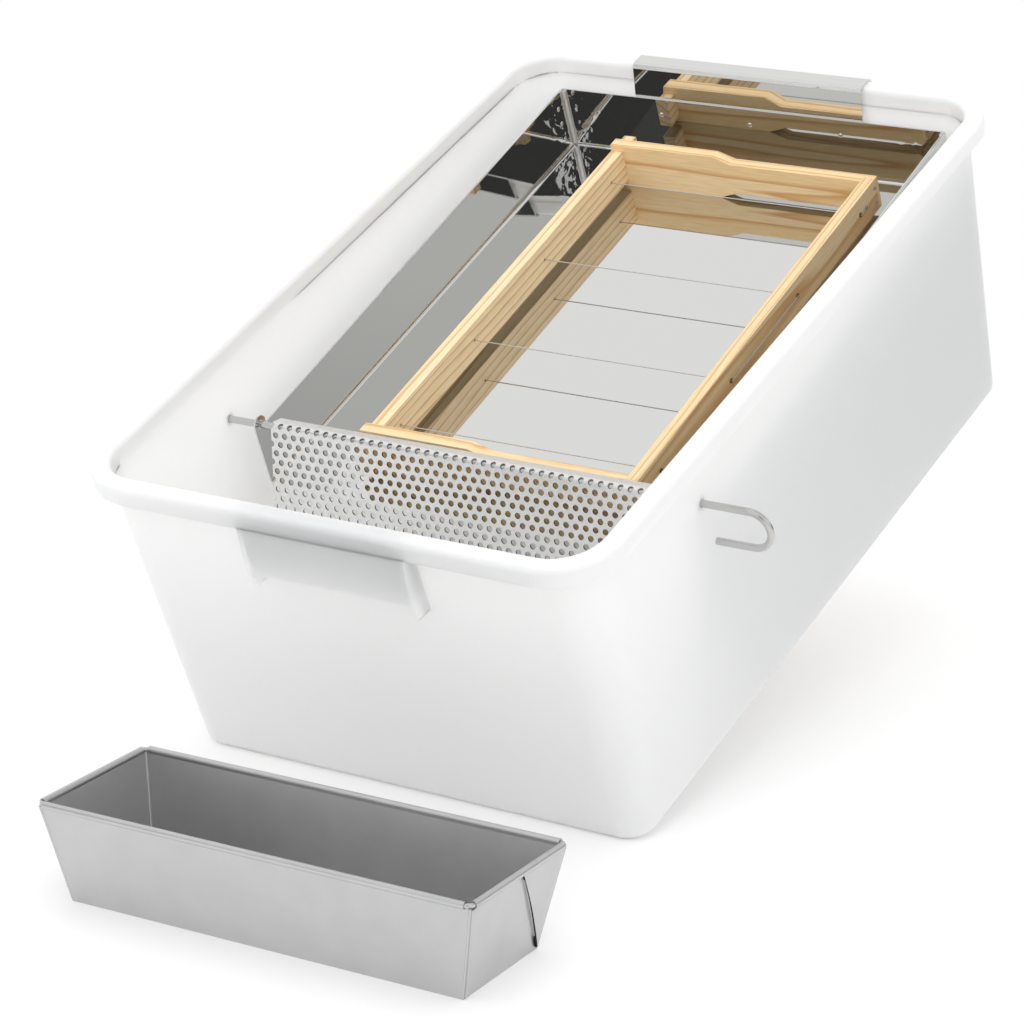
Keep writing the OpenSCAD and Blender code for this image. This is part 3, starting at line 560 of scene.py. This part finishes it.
# Tub: the moulding is one piece, so its shell and its rim are joined into one skin
skinJoin = {"weldMm": 0.001, "sharpFrom": 32}


def joinedSkin(name, parts, material, body):
    skins = []
    for part in parts:
        skin = nodes[part].copy()
        skin.data = nodes[part].data.copy()
        bpy.context.scene.collection.objects.link(skin)
        loose = bmesh.new()
        loose.from_mesh(skin.data)
        bmesh.ops.remove_doubles(loose, verts=loose.verts, dist=skinJoin["weldMm"] * millimetre)
        loose.to_mesh(skin.data)
        loose.free()
        skins.append(skin)
    union = skins[0].modifiers.new("union", "BOOLEAN")
    union.operation = "UNION"
    union.object = skins[1]
    mesh = grownMesh(skins[0])
    for skin in skins:
        bpy.data.objects.remove(skin)
    mesh.polygons.foreach_set("use_smooth", [True] * len(mesh.polygons))
    mesh.set_sharp_from_angle(angle=math.radians(skinJoin["sharpFrom"]))
    mesh.materials.clear()
    mesh.materials.append(material)
    piece = newObject(name, mesh)
    even = piece.modifiers.new("even", "WEIGHTED_NORMAL")
    even.keep_sharp = True
    piece.data = grownMesh(piece)
    piece.modifiers.clear()
    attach(piece, body)
    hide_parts(*parts)
    print(name + ":", len(piece.data.polygons), "faces")


joinedSkin("tubMoulding", ["tub", "tub_rim"], materials["tub"], "tub")

# Comb frame: domed nail heads, rolled eyelet lips and the wire's end round its tack
combParts = {
    "length": 370, "width": 216, "middle": 17.5, "wires": [32, 134, 236, 338], "nailIn": 4.5,
    "lowNailIn": 6.5, "nailApart": 12, "headProud": 0.6, "headRadius": 1.55, "headHeight": 0.4,
    "lipProud": 0.5, "lipRadius": 1.4, "lipRoll": 0.38, "tackPlace": (216, 347, 18.45), "tackProud": 1.9,
    "tailProud": 0.3,
}
left, right = (-1, 0, 0), (1, 0, 0)
headSpots = [((-combParts["headProud"], y, combParts["middle"]), left)
             for y in (combParts["nailIn"], combParts["length"] - combParts["nailIn"])]
headSpots += [((combParts["width"] + combParts["headProud"], y, combParts["middle"] + z), right)
              for y in (combParts["lowNailIn"], combParts["length"] - combParts["lowNailIn"])
              for z in (-combParts["nailApart"] / 2, combParts["nailApart"] / 2)]
tackX, tackY, tackZ = combParts["tackPlace"]
headSpots.append(((tackX + combParts["tackProud"], tackY, tackZ), right))
lipSpots = [((-combParts["lipProud"], y, combParts["middle"]), left) for y in combParts["wires"]]
lipSpots += [((combParts["width"] + combParts["lipProud"], y, combParts["middle"]), right)
             for y in combParts["wires"]]
growPiece("nailDomes", lowHeadTree(), pointsFacing("nailDomes", inComb, headSpots),
          {"Radius": combParts["headRadius"] * millimetre, "Height": combParts["headHeight"] * millimetre},
          materials["support_rod"], "comb_frame")
growPiece("eyeletLips", rolledLipTree(), pointsFacing("eyeletLips", inComb, lipSpots),
          {"Radius": combParts["lipRadius"] * millimetre, "Roll": combParts["lipRoll"] * millimetre},
          materials["top_bar_eyelets"], "comb_frame")
tailSpot = ((tackX + combParts["tailProud"], tackY, tackZ), right)
growPiece("wireTail", wireTailTree(), pointsFacing("wireTail", inComb, [tailSpot]), {},
          materials["support_rod"], "comb_frame")

# Tray: the sheet is folded into its rear corners, which leaves a round fold down each of them; the fold's
# pure white metal colour is a painted highlight
cornerFold = {
    "radius": 1.5, "wander": 0.9, "wave": 14, "low": 2.5, "high": 48.5, "in": 0.9,
    "colour": "#FFFFFF", "roughness": 0.55, "lineMm": 0.4,
}
foldX = traySize["halfWidth"] - cornerFold["in"]
foldY = traySize["length"] - cornerFold["in"]
cornerLines = [((side * foldX, foldY, cornerFold["low"]), (side * foldX, foldY, cornerFold["high"]))
               for side in (-1, 1)]
foldLine = foldLineTree()
growPiece("cornerFolds", foldLine, edgesBetween("cornerFolds", inTray, cornerLines),
          {"Radius": cornerFold["radius"] * millimetre, "Wander": cornerFold["wander"] * millimetre,
           "Wave": cornerFold["wave"] * millimetre},
          # painted highlight: the fold's metal is pure white, brighter than the tray's steel
          brushedStainless("brightFoldHighlight", cornerFold["colour"], cornerFold["roughness"],
                           cornerFold["lineMm"]), "tray")

# Tin: round folds at its four corners, inside and outside, and a thin near-black strip of painted shade
# along the open gap of each end's rear flap
tinParts = {
    "halfLength": 154.15, "halfWidth": 54.65, "taper": 13, "height": 66.15,
    "foldRadius": 0.9, "foldInsets": (0.45, 1.1), "foldLow": 1.2, "foldBelowTop": 1.5,
    "foldWander": 0.15, "foldWave": 12,
    "gapTop": 4.3, "gapLow": 39.6, "gapFrom": 65.0, "gapDownTo": 3.0, "gapWidth": 1.6, "gapTopShare": 0.25,
    "gapBulge": 1.6, "gapIn": 0.2, "gapOut": 1.45, "gapSteps": 10,
}


def tinCorner(sideX, sideY, inset, taper, height):
    return (sideX * (tinParts["halfLength"] - taper - inset),
            sideY * (tinParts["halfWidth"] - taper - inset), height)


tinFolds = [(tinCorner(sideX, sideY, inset, tinParts["taper"], tinParts["foldLow"]),
             tinCorner(sideX, sideY, inset, 0, tinParts["height"] - tinParts["foldBelowTop"]))
            for inset in tinParts["foldInsets"] for sideX in (-1, 1) for sideY in (-1, 1)]
growPiece("tinFolds", foldLine, edgesBetween("tinFolds", inTin, tinFolds),
          {"Radius": tinParts["foldRadius"] * millimetre, "Wander": tinParts["foldWander"] * millimetre,
           "Wave": tinParts["foldWave"] * millimetre},
          materials["tin_body"], "wax_tin")

# The strip of painted shade follows the gap: it runs down the end wall, bows a little and is widest at its
# lower end
gapLine = []
gapSteps = tinParts["gapSteps"]
for i in range(gapSteps + 1):
    share = i / gapSteps
    y = tinParts["gapTop"] + (tinParts["gapLow"] - tinParts["gapTop"]) * share
    y += tinParts["gapBulge"] * math.sin(math.pi * share)
    half = tinParts["gapWidth"] * (tinParts["gapTopShare"] + (1 - tinParts["gapTopShare"]) * share) / 2
    rise = tinParts["gapFrom"] + (tinParts["gapDownTo"] - tinParts["gapFrom"]) * share
    gapLine.append((y - half, y + half, rise))
lean = math.degrees(math.atan2(tinParts["taper"], tinParts["height"]))
footOfEnd = Matrix.Translation((tinParts["halfLength"] - tinParts["taper"], 0, 0)) @ turned(lean, "Y")
gapIn, gapOut = tinParts["gapIn"], tinParts["gapOut"]
gapPoints, gapFaces = [], []
for end in (1, -1):
    onEnd = inTin @ Matrix.Diagonal((end, 1, 1, 1)) @ footOfEnd
    first = len(gapPoints)
    for near, far, rise in gapLine:
        for y, out in ((near, gapIn), (near, gapOut), (far, gapOut), (far, gapIn)):
            gapPoints.append((onEnd @ Vector((out, y, rise))) * millimetre)
    for i in range(gapSteps):
        a, b = first + 4 * i, first + 4 * i + 4
        for j in range(4):
            gapFaces.append((a + j, a + (j + 1) % 4, b + (j + 1) % 4, b + j))
    gapFaces += [tuple(range(first, first + 4)), tuple(range(len(gapPoints) - 4, len(gapPoints)))]
# a thin solid strip along the flap's free edge, coloured near black as painted shade for the open gap
gapMesh = bpy.data.meshes.new("flapGapShade")
gapMesh.from_pydata(gapPoints, [], gapFaces)
closed = bmesh.new()
closed.from_mesh(gapMesh)
bmesh.ops.recalc_face_normals(closed, faces=closed.faces)
closed.to_mesh(gapMesh)
closed.free()
gapMesh.materials.append(cloudedMetal("gapShade"))
flapGapShade = newObject("flapGapShade", gapMesh)
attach(flapGapShade, "wax_tin")
print("flapGapShade:", len(gapFaces), "faces")

# Studio: a white floor in a soft white room, with dark flags and a grey card that only reflections see.
# Places and sizes in metres.
studio = {
    "roomLight": 1.06, "target": (0, 0, 0.2),
    "topPower": 18, "topSize": 2.4, "topPlace": (0.2, -0.3, 3.0),
    "frontPower": 13, "frontSize": 1.8, "frontPlace": (1.1, -2.5, 1.6),
    "floorSize": 12, "floorColour": "#F6F6F6", "shadowFade": 0.34, "fadeFrom": 0.55, "fadeTo": 1.3,
    "flagColour": "#505050", "cardFront": "#D2D2D2", "cardBack": "#E6E6E6", "cardFrom": 0.5, "cardTo": 1.0,
    "cardBackAt": 0.6, "card": {"left": 0.15, "right": 1.9, "front": 0.0, "back": 1.6, "height": 1.6},
}
uprightFlags = {
    "flagLeft": {"start": (-3.2, -2.6), "end": (-1.8, -2.8), "foot": 0.25, "top": 2.1, "paint": "leftFlag"},
    "flagFront": {"start": (1.1, -3.2), "end": (2.6, -3.4), "foot": 0.25, "top": 2.1, "paint": "darkFlag"},
    "flagBack": {"start": (0.8, 2.4), "end": (2.4, 1.2), "foot": 0.02, "top": 0.7, "paint": "lowFlag"},
}


def levelCorners(left, right, front, back, height):
    return [(left, front, height), (right, front, height), (right, back, height), (left, back, height)]


def uprightCorners(start, end, foot, top):
    return [(*start, foot), (*end, foot), (*end, top), (*start, top)]


def stagedPlane(name, corners, material):
    mesh = bpy.data.meshes.new(name)
    mesh.from_pydata(corners, [], [tuple(range(len(corners)))])
    plane = newObject(name, mesh)
    mesh.materials.append(material)
    return plane


def glowMaterial(name, colour):
    material = bpy.data.materials.new(name)
    material.use_nodes = True
    tree = material.node_tree
    tree.nodes.clear()
    glow = addNode(tree, "ShaderNodeEmission", {"Color": linearColour(colour)})
    addNode(tree, "ShaderNodeOutputMaterial", links={"Surface": glow.outputs["Emission"]})
    return material


def shadedCard():
    # grey that grows lighter from the front of the studio to its back
    material = glowMaterial("shadedCard", studio["cardBack"])
    tree = material.node_tree
    place = addNode(tree, "ShaderNodeTexCoord").outputs["Object"]
    parts = addNode(tree, "ShaderNodeSeparateXYZ", links={"Vector": place})
    along = addNode(tree, "ShaderNodeMapRange", {"From Min": studio["cardFrom"],
                                                 "From Max": studio["cardTo"]},
                    {"Value": parts.outputs["Y"]})
    shade = addNode(tree, "ShaderNodeValToRGB", links={"Fac": along.outputs["Result"]})
    setRamp(shade, [(0.0, studio["cardFront"]), (studio["cardBackAt"], studio["cardBack"])])
    glow = next(n for n in tree.nodes if n.type == "EMISSION")
    tree.links.new(shade.outputs["Color"], glow.inputs["Color"])
    return material


def seenDirectly(tree):
    # one where the eye, a reflection or a view through glass looks at it
    rays = addNode(tree, "ShaderNodeLightPath")
    seen = addNode(tree, "ShaderNodeMath", {"operation": "MAXIMUM"},
                   {0: rays.outputs["Is Camera Ray"], 1: rays.outputs["Is Glossy Ray"]})
    return addNode(tree, "ShaderNodeMath", {"operation": "MAXIMUM"},
                   {0: seen.outputs["Value"], 1: rays.outputs["Is Transmission Ray"]}).outputs["Value"]


def paleFloor():
    # a white floor that keeps a light shadow near the object and runs out into the white backdrop
    material, tree, shader, place = startMaterial("paleFloor")
    shader.inputs["Base Color"].default_value = linearColour(studio["floorColour"])
    shader.inputs["Roughness"].default_value = 1.0
    shader.inputs["Specular IOR Level"].default_value = 0.0
    away = addNode(tree, "ShaderNodeVectorMath", {"operation": "LENGTH"}, {0: place})
    fade = addNode(tree, "ShaderNodeMapRange", {"interpolation_type": "SMOOTHSTEP",
                                                "From Min": studio["fadeFrom"], "From Max": studio["fadeTo"],
                                                "To Min": studio["shadowFade"], "To Max": 1.0},
                   {"Value": away.outputs["Value"]})
    share = addNode(tree, "ShaderNodeMath", {"operation": "MULTIPLY"},
                    {0: fade.outputs["Result"], 1: seenDirectly(tree)})
    glow = addNode(tree, "ShaderNodeEmission", {"Color": (1, 1, 1, 1)})
    both = addNode(tree, "ShaderNodeMixShader", None, {0: share.outputs["Value"], 1: shader.outputs["BSDF"],
                                                       2: glow.outputs["Emission"]})
    output = next(n for n in tree.nodes if n.type == "OUTPUT_MATERIAL")
    tree.links.new(both.outputs["Shader"], output.inputs["Surface"])
    return material


def softLight(name, place, size, power):
    light = bpy.data.lights.new(name, "AREA")
    light.shape = "SQUARE"
    light.size = size
    light.energy = power
    lamp = newObject(name, light)
    lamp.location = place
    lamp.rotation_euler = (Vector(studio["target"]) - Vector(place)).to_track_quat("-Z", "Y").to_euler()
    lamp.visible_glossy = False


reach = studio["floorSize"]
stagedPlane("floor", levelCorners(-reach, reach, -reach, reach, 0), paleFloor())
flags = [stagedPlane(name, uprightCorners(flag["start"], flag["end"], flag["foot"], flag["top"]),
                     glowMaterial(flag["paint"], studio["flagColour"]))
         for name, flag in uprightFlags.items()]
flags.append(stagedPlane("cardRight", levelCorners(**studio["card"]), shadedCard()))
for flag in flags:
    flag.visible_camera = False
    flag.visible_diffuse = False
    flag.visible_shadow = False
    flag.visible_transmission = False
    flag.visible_volume_scatter = False

softLight("topSoftbox", studio["topPlace"], studio["topSize"], studio["topPower"])
softLight("frontSoftbox", studio["frontPlace"], studio["frontSize"], studio["frontPower"])

# The room is white to the eye and in reflections, and gives the room light to what it lights
world = bpy.data.worlds.new("room")
bpy.context.scene.world = world
world.use_nodes = True
room = world.node_tree
room.nodes.clear()
level = addNode(room, "ShaderNodeMapRange", {"To Min": studio["roomLight"], "To Max": 1.0},
                {"Value": seenDirectly(room)})
backdrop = addNode(room, "ShaderNodeBackground", {"Color": linearColour("#FFFFFF")},
                   {"Strength": level.outputs["Result"]})
addNode(room, "ShaderNodeOutputWorld", links={"Surface": backdrop.outputs["Background"]})

# The photograph's viewpoint
view = {
    "azimuth": 32.18, "elevation": 17.24, "place": (1.2118, -1.9537, 0.8788), "lens": 124.76, "sensor": 36,
}
camera = bpy.data.cameras.new("camera")
camera.lens = view["lens"]
camera.sensor_width = view["sensor"]
eye = newObject("camera", camera)
eye.location = view["place"]
eye.rotation_euler = (math.radians(90 - view["elevation"]), 0, math.radians(view["azimuth"]))
bpy.context.scene.camera = eye
bpy.context.scene.view_settings.view_transform = "Standard"
print("studio and camera ready")
